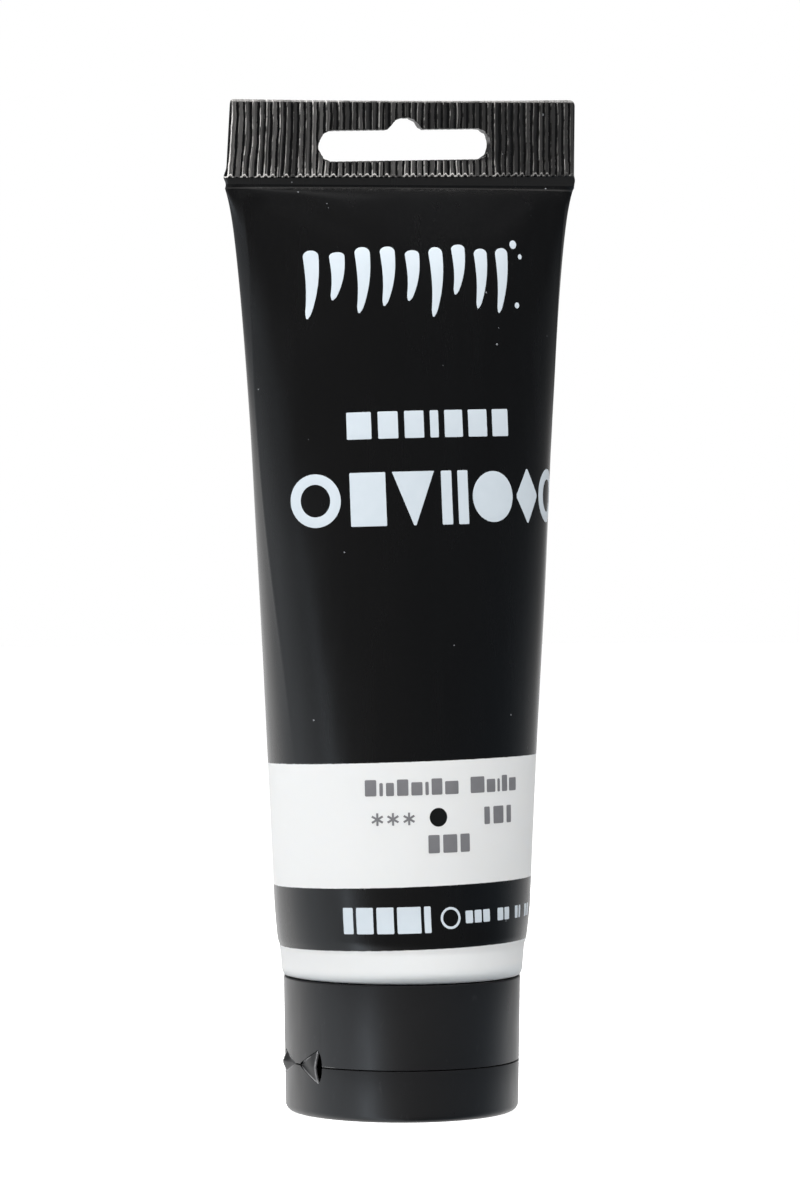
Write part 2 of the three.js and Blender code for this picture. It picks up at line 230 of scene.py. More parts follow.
class Nodes:
    """Short calls for building a node tree."""

    def __init__(self, tree):
        self.tree = tree
        self.tree.nodes.clear()

    def add(self, kind, **settings):
        node = self.tree.nodes.new("ShaderNode" + kind)
        for name, value in settings.items():
            setattr(node, name, value)
        return node

    def link(self, source, target):
        self.tree.links.new(source, target)

    def value(self, socket, value):
        if isinstance(value, bpy.types.NodeSocket):
            self.link(value, socket)
        else:
            socket.default_value = value

    def math(self, operation, *inputs):
        node = self.add("Math", operation=operation)
        for socket, value in zip(node.inputs, inputs):
            self.value(socket, value)
        return node.outputs[0]

    def plus(self, a, b):
        return self.math("ADD", a, b)

    def minus(self, a, b):
        return self.math("SUBTRACT", a, b)

    def rest_of(self, share):
        return self.math("SUBTRACT", 1.0, share)

    def times(self, *factors):
        product = factors[0]
        for factor in factors[1:]:
            product = self.math("MULTIPLY", product, factor)
        return product

    def most(self, *values):
        highest = values[0]
        for value in values[1:]:
            highest = self.math("MAXIMUM", highest, value)
        return highest

    def size(self, value):
        return self.math("ABSOLUTE", value)

    def dot(self, vector, axis):
        node = self.add("VectorMath", operation="DOT_PRODUCT")
        self.link(vector, node.inputs[0])
        node.inputs[1].default_value = axis
        return node.outputs["Value"]

    def step(self, value, low, high, to_low=0.0, to_high=1.0):
        node = self.add("MapRange", interpolation_type="SMOOTHSTEP", clamp=True)
        for socket, item in zip(node.inputs, (value, low, high, to_low, to_high)):
            self.value(socket, item)
        return node.outputs["Result"]

    def mix(self, factor, a, b, blend="MIX"):
        node = self.add("Mix", data_type="RGBA", blend_type=blend, clamp_factor=True)
        self.value(node.inputs["Factor"], factor)
        self.value(node.inputs[6], a)
        self.value(node.inputs[7], b)
        return node.outputs[2]

    def noise(self, vector, scale, detail=2.0, roughness=0.5):
        node = self.add("TexNoise")
        self.link(vector, node.inputs["Vector"])
        node.inputs["Scale"].default_value = scale
        node.inputs["Detail"].default_value = detail
        node.inputs["Roughness"].default_value = roughness
        return node.outputs["Fac"]

    def stretched(self, vector, scale):
        node = self.add("VectorMath", operation="MULTIPLY")
        self.link(vector, node.inputs[0])
        node.inputs[1].default_value = scale
        return node.outputs["Vector"]

    def bump(self, height, strength, distance, normal=None):
        node = self.add("Bump")
        node.inputs["Strength"].default_value = strength
        node.inputs["Distance"].default_value = distance * MM
        self.link(height, node.inputs["Height"])
        if normal is not None:
            self.link(normal, node.inputs["Normal"])
        return node.outputs["Normal"]

    def dress(self, shader, color, rough, normal):
        for name, source in (("Base Color", color), ("Roughness", rough), ("Normal", normal)):
            self.link(source, shader.inputs[name])

    def attribute(self, name):
        return self.add("Attribute", attribute_name=name).outputs["Fac"]

    def specks(self, vector, cell, radius, share):
        """Small dots, one to a cell in this share of the cells; cell and radius are in millimetres."""
        node = self.add("TexVoronoi", feature="F1")
        self.link(vector, node.inputs["Vector"])
        node.inputs["Scale"].default_value = 1 / (cell * MM)
        node.inputs["Randomness"].default_value = 1.0
        split = self.add("SeparateColor")
        self.link(node.outputs["Color"], split.inputs[0])
        reach = self.times(split.outputs[1], 2 * radius / cell)
        near = self.math("LESS_THAN", node.outputs["Distance"], reach)
        chosen = self.math("LESS_THAN", split.outputs[0], share)
        return self.times(near, chosen)


def new_material(name):
    material = bpy.data.materials.new(name)
    material.use_nodes = True
    nodes = Nodes(material.node_tree)
    shader = nodes.add("BsdfPrincipled")
    output = nodes.add("OutputMaterial")
    nodes.link(shader.outputs[0], output.inputs["Surface"])
    place = nodes.add("TexCoord").outputs["Object"]
    return material, nodes, shader, place


# ------------------------------------------------------------------ materials

BAND_TILT = 0.026  # the printed bands rise by this much towards the right of the view
WHITE_BAND = (37.6, 57.5)
PRINT_START = 27.6


def crimp_scuffs_and_highlights(n, across, up):
    """Scuffs and painted highlights of the pressed end, 0 to 1, and its ridge tops. Across and up are in
    metres.
    """
    ridge = n.attribute("ridge")
    above = n.attribute("above_serration")
    number = n.math("FLOOR", n.plus(ridge, 0.5))
    off = n.minus(ridge, number)
    dice = n.add("TexWhiteNoise", noise_dimensions="1D")
    n.link(number, dice.inputs["W"])
    chances = n.add("SeparateColor")
    n.link(dice.outputs["Color"], chances.inputs[0])
    first, second, third = chances.outputs

    spot = n.add("CombineXYZ")
    n.link(n.times(number, 5.3), spot.inputs[0])
    n.link(n.times(up, 380.0), spot.inputs[1])
    along = n.noise(spot.outputs[0], 1.0, 3)
    n.link(n.plus(n.times(number, 5.3), 2.6), spot.inputs[2])
    patchy = n.step(along, 0.36, 0.60, 0.25, 1.0)
    low_down = n.step(above, 1.0, 4.2, 1.0, 0.62)
    under_slot = n.times(n.step(above, 2.4, 3.4, 1.0, 0.0), n.step(across, 15 * MM, 19 * MM, 1.0, 0.0))
    # The marks are strongest on the left, the lit side, and under the slot.
    leftness = n.most(n.step(across, -22 * MM, 8 * MM, 1.0, 0.40), under_slot)

    def line(centre, half_width, level):
        distance = n.size(n.minus(off, centre))
        shape = n.step(distance, n.times(half_width, 0.4), half_width, 1.0, 0.0)
        return n.times(shape, level)

    # Pale lines along the ridges: partly whitened plastic, partly painted highlight on the flanks.
    bright = n.times(n.step(first, 0.1, 0.8, 0.5, 2.3), patchy)
    faint = n.times(n.step(second, 0.25, 0.9, 0.1, 1.5), patchy)
    width = n.plus(n.times(third, 0.035), 0.045)
    thin = n.minus(n.times(third, 0.30), 0.18)
    lines = n.most(
        line(-0.27, width, bright),
        line(0.27, 0.055, faint),
        line(thin, 0.04, n.times(first, 0.5)),
    )
    lines = n.times(lines, leftness, low_down)
    top = n.step(n.size(off), 0.22, 0.34, 1.0, 0.0)
    # Lighter ridge tops: painted highlight on the matte pressed faces.
    face = n.times(top, leftness, n.step(second, 0.0, 1.0, 0.03, 0.13))

    curl_height = n.plus(n.times(n.math("COSINE", n.times(off, 2 * math.pi)), 0.2), 0.38)
    curl = n.step(n.size(n.minus(above, curl_height)), 0.05, 0.16, 1.0, 0.0)
    curl = n.times(curl, leftness, n.step(along, 0.40, 0.56, 0.1, 1.1))
    # Painted highlight along the crimp's top edge.
    to_top = TOTAL_HEIGHT - SERRATION_BOTTOM
    rim = n.times(n.step(above, to_top - 0.55, to_top - 0.35, 0.0, 0.36), n.step(along, 0.3, 0.5, 0.4, 1.0))
    normal = n.add("NewGeometry").outputs["Normal"]
    sideways = n.size(n.dot(normal, (1, 0, 0)))
    inside = n.times(n.step(above, 0.0, 0.2), n.step(sideways, 0.6, 0.9, 1.0, 0.15))
    marks = n.times(n.most(lines, face, curl, rim), inside)
    strip = n.times(n.step(above, -1.35, -1.2), n.rest_of(inside))
    # Painted highlight: a pale line where the wall under the strip catches the light.
    crease_highlight = n.step(n.size(n.plus(above, 1.95)), 0.06, 0.2, 1.0, 0.0)
    strip = n.plus(n.times(strip, 0.014), n.times(crease_highlight, 0.03))
    return n.plus(marks, strip), n.times(top, inside)


def sleeve_material():
    """White plastic under a glossy black print with two white bands, crimp ridges with scuffs and painted
    highlights, and a painted bluish shade at the foot.
    """
    material, n, shader, place = new_material("sleeve_print")
    split = n.add("SeparateXYZ")
    n.link(place, split.inputs[0])
    rise = n.dot(place, VIEW_RIGHT * BAND_TILT)
    ragged = n.times(n.minus(n.noise(place, 900, 3), 0.5), 0.12 * MM)
    height = n.minus(n.plus(split.outputs[2], ragged), rise)

    def above(edge):
        return n.step(height, (edge - 0.05) * MM, (edge + 0.05) * MM)

    over_start, over_band, past_band = above(PRINT_START), above(WHITE_BAND[0]), above(WHITE_BAND[1])
    white = n.plus(n.rest_of(over_start), n.minus(over_band, past_band))

    cloud = n.noise(place, 60, 3)
    black = n.mix(cloud, (0.0060, 0.0060, 0.0062, 1), (0.0074, 0.0074, 0.0076, 1))
    paper = n.mix(n.noise(place, 45, 2), (0.80, 0.81, 0.80, 1), (0.84, 0.845, 0.84, 1))
    color = n.mix(white, black, paper)

    wear_and_highlight, proud = crimp_scuffs_and_highlights(n, split.outputs[0], split.outputs[2])
    # Pale crimp marks: scuffs and painted highlights.
    color = n.mix(wear_and_highlight, color, (0.68, 0.66, 0.64, 1))
    foot_shade = n.step(height, 22.2 * MM, 24.6 * MM, 0.42, 0.0)
    color = n.mix(foot_shade, color, (0.52, 0.60, 0.64, 1))
    dust = n.times(n.specks(place, 4.2, 0.13, 0.3), n.rest_of(white))
    fine = n.times(n.specks(place, 2.2, 0.08, 0.16), n.rest_of(white))
    color = n.mix(n.times(dust, 0.5), color, (0.5, 0.52, 0.55, 1))
    color = n.mix(n.times(fine, 0.4), color, (0.5, 0.52, 0.55, 1))

    streaks = n.noise(n.stretched(place, (1, 1, 0.12)), 260, 4, 0.6)
    gloss = n.step(streaks, 0.2, 0.8, 0.20, 0.30)
    rough = n.plus(gloss, n.times(white, 0.16))
    rough = n.plus(rough, n.times(wear_and_highlight, 0.2))
    shader.inputs["Subsurface Radius"].default_value = (1.0, 0.9, 0.8)
    shader.inputs["Subsurface Scale"].default_value = 1.2 * MM
    n.link(n.times(white, 0.25), shader.inputs["Subsurface Weight"])

    pressed = n.bump(proud, 0.7, 0.22)
    peel = n.bump(n.noise(place, 420, 3), 0.25, 0.03, pressed)
    n.dress(shader, color, rough, n.bump(n.noise(place, 4000, 2), 0.3, 0.006, peel))
    return material


def parting_edge_highlight(n, place):
    """A short painted highlight just above the parting line, next to the front web of the hinge: the lit
    upper edge of the gap.
    """
    lift, from_axis = 0.12, 11.9
    height = n.minus(n.dot(place, (0, 0, 1)), (PARTING + lift) * MM)
    aside = n.plus(n.dot(place, VIEW_RIGHT), from_axis * MM)
    return n.times(
        n.step(n.size(height), 0.05 * MM, 0.11 * MM, 1.0, 0.0),
        n.step(n.size(aside), 0.8 * MM, 1.5 * MM, 0.35, 0.0),
        n.step(n.dot(place, (0, 1, 0)), -2 * MM, 0, 1.0, 0.0),
    )


def cap_material(name="cap_satin_black", wear_and_highlight=False):
    """Moulded satin black plastic with faint flow streaks, fine grain and dust, a short painted highlight
    at the parting line, and, for the webs, light folded edges: partly stress whitening, partly painted
    highlight.
    """
    material, n, shader, place = new_material(name)
    cloud = n.noise(place, 90, 3)
    color = n.mix(cloud, (0.0125, 0.0125, 0.0132, 1), (0.0155, 0.0155, 0.0164, 1))
    scuff = n.step(n.noise(n.stretched(place, (1, 1, 0.4)), 700, 5, 0.65), 0.62, 0.8)
    color = n.mix(n.times(scuff, 0.12), color, (0.16, 0.16, 0.17, 1))
    dust = n.specks(place, 4.5, 0.14, 0.16)
    color = n.mix(n.times(dust, 0.45), color, (0.45, 0.46, 0.48, 1))
    # Painted highlight on the upper edge of the parting line.
    color = n.mix(parting_edge_highlight(n, place), color, (0.5, 0.5, 0.5, 1))
    rough = n.step(n.noise(n.stretched(place, (1, 1, 0.3)), 320, 4), 0.25, 0.75, 0.27, 0.35)
    if wear_and_highlight:
        # Pale web edges: partly stress whitening, partly painted highlight.
        edge = n.attribute("web_edge_wear_and_highlight")
        broken = n.step(n.noise(place, 1500, 3), 0.3, 0.6, 0.5, 1.0)
        color = n.mix(n.times(edge, broken), color, (0.50, 0.50, 0.51, 1))
        rough = n.plus(rough, n.minus(0.16, n.times(edge, 0.25)))
    grain = n.bump(n.noise(place, 3200, 3), 0.35, 0.008)
    n.dress(shader, color, rough, n.bump(n.noise(place, 240, 2), 0.3, 0.03, grain))
    return material


def ink_material(name, low, high):
    """Screen-printed ink with slightly uneven cover."""
    material, n, shader, place = new_material(name)
    color = n.mix(n.noise(place, 500, 4), low, high)
    rough = n.step(n.noise(place, 900, 2), 0.3, 0.7, 0.32, 0.42)
    n.dress(shader, color, rough, n.bump(n.noise(place, 2500, 2), 0.2, 0.005))
    return material


def plain_material(name, low, high, roughness, metallic=0.0, grain=1500):
    """A mottled base colour with fine bump, for the pieces inside."""
    material, n, shader, place = new_material(name)
    color = n.mix(n.noise(place, 220, 3), low, high)
    rough = n.step(n.noise(place, 600, 3), 0.3, 0.7, roughness - 0.06, roughness + 0.06)
    n.dress(shader, color, rough, n.bump(n.noise(place, grain, 3), 0.3, 0.02))
    shader.inputs["Metallic"].default_value = metallic
    return material


SLEEVE_PRINT = sleeve_material()
CAP_BLACK = cap_material()
WEB_BLACK = cap_material("hinge_web_black", wear_and_highlight=True)
PALE_INK = ink_material("pale_ink", (0.58, 0.65, 0.70, 1), (0.64, 0.70, 0.75, 1))
GREY_INK = ink_material("grey_ink", (0.17, 0.17, 0.18, 1), (0.22, 0.22, 0.23, 1))
BLACK_INK = ink_material("black_ink", (0.006, 0.006, 0.006, 1), (0.010, 0.010, 0.010, 1))
HEAD_WHITE = plain_material("head_white", (0.74, 0.76, 0.77, 1), (0.80, 0.82, 0.83, 1), 0.4)
FOIL = plain_material("foil", (0.72, 0.72, 0.74, 1), (0.82, 0.82, 0.84, 1), 0.28, 1.0, 900)
FOAM = plain_material("washer_foam", (0.80, 0.78, 0.72, 1), (0.87, 0.85, 0.80, 1), 0.9, 0.0, 2600)
PAINT = plain_material("white_paint", (0.88, 0.88, 0.85, 1), (0.93, 0.93, 0.90, 1), 0.35)


# ------------------------------------------------------------------ the sleeve

COLUMNS = 720
WALL = 0.5
LIP_RADIUS = 17.6  # the sleeve's foot is turned in to here, over the head's shoulder
FOOT_STEP = 0.22  # the sleeve is drawn in a little where the head is welded inside it
DENSE = 2048  # samples of a cross-section before it is cut into equal arcs


def crossing(half_width, pinch):
    """A section of the tube, cut at equal arc lengths from +X; pinch 1 makes an ellipse, 2 a lens."""
    t = np.linspace(0, 2 * math.pi, DENSE + 1)
    x = half_width * np.cos(t)

    def shape(angle):
        return np.sign(np.sin(angle)) * np.abs(np.sin(angle)) ** pinch

    def lengths(depth):
        return np.hypot(np.diff(x), np.diff(depth * shape(t)))

    low, high = 0.02, TUBE_RADIUS * 1.1
    for _ in range(36):
        middle = (low + high) / 2
        if lengths(middle).sum() > GIRTH:
            high = middle
        else:
            low = middle
    along = np.concatenate(([0], np.cumsum(lengths(low))))
    at = np.interp(np.arange(COLUMNS) / COLUMNS * along[-1], along, t)
    return half_width * np.cos(at), low * shape(at)


def round_row(radius, height):
    angle = np.arange(COLUMNS) * 2 * math.pi / COLUMNS
    return np.stack([radius * np.cos(angle), radius * np.sin(angle), np.full(COLUMNS, height)], axis=1)


def body_row(height):
    """One ring of the sleeve between its round end and the crimp."""
    share = (height - ROUND_END) / (CRIMP_BOTTOM - ROUND_END)
    swell = 0.06 * smoothstep(-0.02, 0.08, share)
    spread = min(1.0, swell + 0.74 * share + 0.13 * share**6 + 0.07 * share**40)
    fuller = 0.16 * math.exp(-(((height - 122) / 13) ** 2))
    half_width = TUBE_RADIUS * (1 + (math.pi / 2 - 1) * spread) + fuller
    x, y = crossing(min(half_width, 0.9985 * GIRTH / 4), 1 + 0.45 * smoothstep(0.55, 1, share))
    return np.stack([x, y, np.full(COLUMNS, height)], axis=1)


def skewed(points):
    """The end of the tube was pressed a little out of square: everything up there rises towards +X."""
    x, z = points[..., 0], points[..., 2]
    in_crimp = smoothstep(CRIMP_BOTTOM - 0.5, CRIMP_BOTTOM + 2, z)
    slope = BODY_SKEW * smoothstep(60, 150, z) + CRIMP_SKEW * in_crimp
    return np.stack([x, points[..., 1], z + slope * x], axis=-1)


rng = np.random.default_rng(7)
RIDGE_COUNT = 54
ridge_pitch = GIRTH / 2 / RIDGE_COUNT
ridge_centres = (np.arange(RIDGE_COUNT + 4) - 1.5) * ridge_pitch - GIRTH / 4
ridge_centres = ridge_centres + rng.normal(0, 0.07, len(ridge_centres))
ridge_heights = rng.uniform(0.75, 1.15, len(ridge_centres))


def ridge_place(x, z):
    """The number of the pressed ridge at each point, with whole numbers on the ridges' middles."""
    up = np.clip((z - SERRATION_BOTTOM) / (TOTAL_HEIGHT - SERRATION_BOTTOM), 0, 1)
    splay = (1 - up) ** 2 * np.clip(-x / 31, 0, 1) ** 1.5 * 0.9

    def sway(a, b):
        slow = noise.noise(Vector((a * 0.35, b * 0.22, 3.1))) * 0.20
        return slow + noise.noise(Vector((a * 1.1, b * 0.9, 9.7))) * 0.06

    swayed = np.array([sway(a, b) for a, b in zip(x, z)])
    return np.interp(x + splay + swayed, ridge_centres, np.arange(len(ridge_centres)))


def ridge_shape(place):
    """How proud the pressed face is, 0 in a groove and about 1 on a ridge."""
    index = np.clip(np.round(place).astype(int), 0, len(ridge_centres) - 1)
    off = np.abs(place - np.round(place))
    top = 1 - smoothstep(0.22, 0.38, off)
    return top * ridge_heights[index]


def crimp_row(height):
    """One ring of the pressed end, before the hang slot is cut, and the ridge number at each point."""
    half = COLUMNS // 2
    share = np.arange(COLUMNS) / half
    front = share >= 1
    across = np.where(front, 2 * (share - 1) - 1, 1 - 2 * share)
    up = np.clip((height - SERRATION_BOTTOM) / (TOTAL_HEIGHT - SERRATION_BOTTOM), 0, 1)
    left = GIRTH / 4 - 0.35 - 0.75 * up + 0.4 * math.exp(-(((height - SERRATION_BOTTOM - 0.3) / 0.9) ** 2))
    right = GIRTH / 4 + 0.1 + 0.15 * up + 0.18 * math.exp(-(((height - SERRATION_BOTTOM + 0.5) / 0.5) ** 2))
    corner = max(0.0, 1 - (TOTAL_HEIGHT - height) / 1.0)
    right -= 0.9 * (1 - math.sqrt(max(0.0, 1 - corner**2)))
    left -= 0.3 * (1 - math.sqrt(max(0.0, 1 - corner**2)))
    x = np.where(across < 0, across * left, across * right)
    z = np.full(COLUMNS, height)
    place = ridge_place(x, z)
    in_ridges = smoothstep(SERRATION_BOTTOM - 0.05, SERRATION_BOTTOM + 0.18, height)
    at_top = smoothstep(0, 0.35, TOTAL_HEIGHT - height)
    flat = CRIMP_HALF * 0.98
    ridged = CRIMP_HALF * 0.78 + 0.34 * ridge_shape(place)
    half_depth = flat * (1 - in_ridges) + ridged * in_ridges
    half_depth = half_depth * (0.55 + 0.45 * at_top)
    closing = np.sqrt(np.clip(1 - np.abs(across) ** 60, 0, 1))
    y = np.where(front, -1, 1) * half_depth * closing
    z = z - 0.22 * up * (1 - (x / 31) ** 2)
    return np.stack([x, y, z], axis=1), place


WRINKLES = [  # start and end as (across from the front's middle, height), width, depth; all in millimetres
    ((-27.0, 149.5), (-19.0, 128.0), 2.6, 0.42),
    ((-22.0, 149.0), (-10.0, 142.5), 2.0, 0.30),
    ((26.5, 149.5), (20.5, 133.0), 2.6, 0.36),
    ((21.0, 149.5), (12.0, 144.5), 1.8, 0.22),
    ((-3.0, 150.0), (2.0, 141.0), 3.5, 0.16),
]


def dents(across, height):
    """How far the long soft folds under the crimp push the wall in."""
    depth = np.zeros_like(across)
    for start, end, width, deep in WRINKLES:
        line = np.array(end) - np.array(start)
        length = np.linalg.norm(line)
        line = line / length
        du, dz = across - start[0], height - start[1]
        along = du * line[0] + dz * line[1]
        beside = -du * line[1] + dz * line[0]
        fade = smoothstep(-3, 3, along) * (1 - smoothstep(length * 0.5, length + 6, along))
        depth += deep * fade * np.exp(-((beside / width) ** 2))
    return depth


def sleeve_grid():
    """All outer rings from the shoulder lip to the top edge, and the ridge number at each point."""
    outer_radius = TUBE_RADIUS - FOOT_STEP
    corner_radius, bend = outer_radius - 0.55, 2.5
    rows = [
        round_row(LIP_RADIUS, SHOULDER),
        round_row(corner_radius - 0.35, SHOULDER),
        round_row(corner_radius, SHOULDER + 0.08),
    ]
    for degrees in (-32, -25, -18, -12, -6):
        angle = math.radians(degrees)
        radius = outer_radius - bend + bend * math.cos(angle)
        rows.append(round_row(radius, ROUND_END - 0.6 + bend * math.sin(angle)))
    heights = np.concatenate([
        np.linspace(ROUND_END - 0.5, 30, 12),
        np.linspace(31, 130, 90),
        np.linspace(130.8, 146, 26),
        np.linspace(146.5, CRIMP_BOTTOM - 0.55, 12),
    ])
    rows += [body_row(height) for height in heights]
    places = [np.zeros(COLUMNS) for _ in rows]
    for height in np.concatenate([
        np.linspace(CRIMP_BOTTOM, SERRATION_BOTTOM - 0.1, 6),
        SERRATION_BOTTOM + np.array([0.0, 0.06, 0.12, 0.2, 0.3, 0.42]),
        np.linspace(SERRATION_BOTTOM + 0.6, TOTAL_HEIGHT - 0.45, 44),
        TOTAL_HEIGHT - np.array([0.3, 0.2, 0.12, 0.05, 0.0]),
    ]):
        row, place = crimp_row(height)
        rows.append(row)
        places.append(place)
    return np.array(rows), np.array(places)


def grid_normals(grid):
    around = np.roll(grid, -1, axis=1) - np.roll(grid, 1, axis=1)
    up = np.gradient(grid, axis=0)
    normal = np.cross(around, up)
    return normal / np.maximum(np.linalg.norm(normal, axis=2, keepdims=True), 1e-9)


def soften(grid):
    """Adds the hand-made look: broad waves, the side creases and the folds under the crimp."""
    rows, columns, _ = grid.shape
    height = grid[:, :, 2]
    arc = (np.arange(columns) / columns - 0.75) * GIRTH
    across = np.where(arc < -GIRTH / 2, arc + GIRTH, arc)[None, :] + np.zeros((rows, 1))
    on_body = smoothstep(26, 34, height) * (1 - smoothstep(CRIMP_BOTTOM - 3, CRIMP_BOTTOM - 0.6, height))

    wave = np.zeros((rows, columns))
    for r in range(rows):
        if on_body[r, 0] <= 0:
            continue
        for c in range(0, columns, 4):
            x, y, z = grid[r, c]
            wave[r, c] = noise.noise(Vector((x * 0.045, y * 0.045, z * 0.022 + 4.0)))
        wave[r] = np.interp(np.arange(columns), np.arange(0, columns, 4), wave[r, ::4], period=columns)
    push = 0.30 * wave * on_body

    creases = 0
    for side in (-1, 1):
        drift = 1.8 + 4.2 * (1 - smoothstep(40, 120, height)) + 0.5 * np.sin(height / 17 + side)
        line = side * (GIRTH / 4 - drift)
        creases = creases + 0.16 * np.exp(-np.abs(across - line) / 0.9)
    push += creases * on_body * smoothstep(50, 90, height)

    front_fold = np.where(np.abs(across) < GIRTH / 4, dents(across, height), 0)
    behind = np.where(across > 0, across - GIRTH / 2, across + GIRTH / 2)
    back_fold = np.where(np.abs(across) >= GIRTH / 4, dents(behind * 0.96 + 1.5, height), 0)
    half_depth = np.abs(grid[:, :, 1])
    push -= front_fold * on_body * smoothstep(0.5, 2.2, half_depth)
    push -= back_fold * on_body * smoothstep(3.2, 7.0, half_depth)
    push -= FOOT_STEP * (1 - smoothstep(27.3, 28.0, height)) * (height > ROUND_END - 0.55)
    lean = 0.28 * np.exp(-(((height - 76) / 24) ** 2)) + 0.14 * np.exp(-(((height - 124) / 20) ** 2))
    return grid + grid_normals(grid) * push[:, :, None] + np.array(VIEW_RIGHT) * lean[:, :, None]


def hang_slot_outline():
    """A rounded slot with a hump, punched a little off the middle and out of line."""
    width, tall, shift, skew = 30.8, 5.05, 0.3, 0.012
    low = CRIMP_BOTTOM + 4.3
    end = tall / 2
    side = width / 2 - end
    turn = np.linspace(-math.pi / 2, math.pi / 2, 17)
    right = [(side + end * math.cos(a), low + end + end * math.sin(a)) for a in turn]
    top = low + tall
    hump = [(3.3, top), (2.75, top + 0.35), (2.15, top + 1.15), (1.55, top + 1.6), (0.75, top + 1.9)]
    half = right + hump
    outline = half + [(-x, z) for x, z in reversed(half)]
    return [(x + shift, skewed(np.array((x, 0, z)))[2] + skew * x) for x, z in outline]


def make_sleeve():
    grid, places = sleeve_grid()
    grid = soften(grid)
    inner = [
        round_row(LIP_RADIUS, SHOULDER + WALL),
        round_row(TUBE_RADIUS - 1.0, SHOULDER + WALL),
        round_row(TUBE_RADIUS - 0.55, ROUND_END),
    ]
    middle = grid[:, :, 2].mean(axis=1)
    lining = grid - WALL * grid_normals(grid)
    for height in (28, 34, 42, 52, 62, 74, 86, 98, 110, 120, 130, 136, 140):
        row = lining[int(np.argmin(np.abs(middle - height)))].copy()
        row[:, 1] = np.sign(row[:, 1]) * np.maximum(np.abs(row[:, 1]), 0.05)
        inner.append(row)
    points = skewed(np.concatenate([*reversed(inner), grid.reshape(-1, 3)]))
    faces = ring_faces(len(inner) + len(grid), COLUMNS)
    piece = facing_out(mesh_object("tube_sleeve_printed", points, faces, SLEEVE_PRINT))
    lining_points = len(inner) * COLUMNS
    above = np.concatenate([np.full(lining_points, -100.0), grid[:, :, 2].ravel() - SERRATION_BOTTOM])
    set_attribute(piece, "above_serration", above)
    set_attribute(piece, "ridge", np.concatenate([np.zeros(lining_points), places.ravel()]))
    upright = Matrix(((1, 0, 0), (0, 0, -1), (0, 1, 0))).to_4x4()
    cut(piece, prism("slot_cutter", hang_slot_outline(), -3, 3, upright))
    sharpen(piece, 50)
    put_on(piece, "tube", "tube_sleeve")
    return grid


sleeve = make_sleeve()

# ------------------------------------------------------------------ the print's raised marks

PRINT_TILT = 0.018  # lines of marks rise by this much for each millimetre to the right


class Print:
    """Thin patches of ink laid on the sleeve at u across from the front's middle, and a height z."""

    def __init__(self, grid):
        self.grid = grid
        self.normals = grid_normals(grid)
        self.heights = grid[:, :, 2].mean(axis=1)
        self.points, self.faces = [], []

    def on_sleeve(self, u, z, lift):
        usable = np.flatnonzero(self.heights > SHOULDER + 1.5)
        row = np.interp(z + PRINT_TILT * u, self.heights[usable], usable)
        column = ((u / GIRTH + 0.75) % 1) * COLUMNS
        r, c = np.floor(row).astype(int), np.floor(column).astype(int)
        fr, fc = (row - r)[:, None], (column - c)[:, None]
        place = 0
        for array, share in ((self.grid, 1), (self.normals, lift[:, None])):
            a, b = array[r, c % COLUMNS], array[r, (c + 1) % COLUMNS]
            d, e = array[r + 1, c % COLUMNS], array[r + 1, (c + 1) % COLUMNS]
            place = place + share * ((a * (1 - fc) + b * fc) * (1 - fr) + (d * (1 - fc) + e * fc) * fr)
        return skewed(place)

    def stroke(self, path, half_widths, closed=False):
        """A band of ink along a path of (u, z) points."""
        path = np.array(path, float)
        half_widths = np.zeros(len(path)) + half_widths
        if closed:
            tangent = np.roll(path, -1, axis=0) - np.roll(path, 1, axis=0)
        else:
            tangent = np.gradient(path, axis=0)
        tangent /= np.linalg.norm(tangent, axis=1, keepdims=True)
        beside = np.stack([-tangent[:, 1], tangent[:, 0]], axis=1)
        across = max(3, int(2 * half_widths.max() / 0.6) + 2)
        steps = np.linspace(-1, 1, across)
        rim = np.concatenate([[0.012], np.full(across - 2, 0.03), [0.012]])
        first = sum(len(p) for p in self.points)
        for point, side, half in zip(path, beside, half_widths):
            line = point + side * (steps * half)[:, None]
            top = self.on_sleeve(line[:, 0], line[:, 1], rim)
            under = self.on_sleeve(line[::-1, 0], line[::-1, 1], np.full(across, -0.08))
            self.points.append(np.concatenate([top, under]))
        faces = ring_faces(len(path), 2 * across, "joined" if closed else "flat")
        self.faces += [tuple(first + v for v in face) for face in faces]

    def block(self, left, right, low, high):
        """A bar with slightly rounded corners."""
        count = max(4, int((right - left) / 0.6) + 2)
        u = np.concatenate([[left], np.linspace(left + 0.12, right - 0.12, count), [right]])
        half = np.full(len(u), (high - low) / 2)
        half[[0, -1]] -= 0.12
        self.stroke(np.stack([u, np.full(len(u), (low + high) / 2)], axis=1), half)

    def disc(self, u, z, radius):
        angle = np.linspace(math.radians(5), math.radians(175), 19)
        path = np.stack([u - radius * np.cos(angle), np.full(19, z)], axis=1)
        self.stroke(path, radius * np.sin(angle))

    def circle(self, u, z, radius, half_width, squash=1.0):
        angle = np.linspace(0, 2 * math.pi, 40, endpoint=False)
        path = np.stack([u + radius * squash * np.cos(angle), z + radius * np.sin(angle)], axis=1)
        self.stroke(path, half_width, closed=True)

    def words(self, left, right, low, high, widths, gap, tall=0.0):
        """Blocks side by side in place of a line of words; a width of 0 is a space."""
        spare = right - left - gap * (len(widths) - 1)
        unit = spare / sum(w if w else 0.7 for w in widths)
        u = left
        for i, width in enumerate(widths):
            step = unit * (width if width else 0.7)
            if width:
                top = high + (tall if i % 3 == 0 else 0)
                self.block(u, u + step, low, top)
            u += step + gap

    def finish(self, name, material):
        piece = facing_out(mesh_object(name, np.concatenate(self.points), self.faces, material))
        sharpen(piece, 40)
        put_on(piece, "tube")


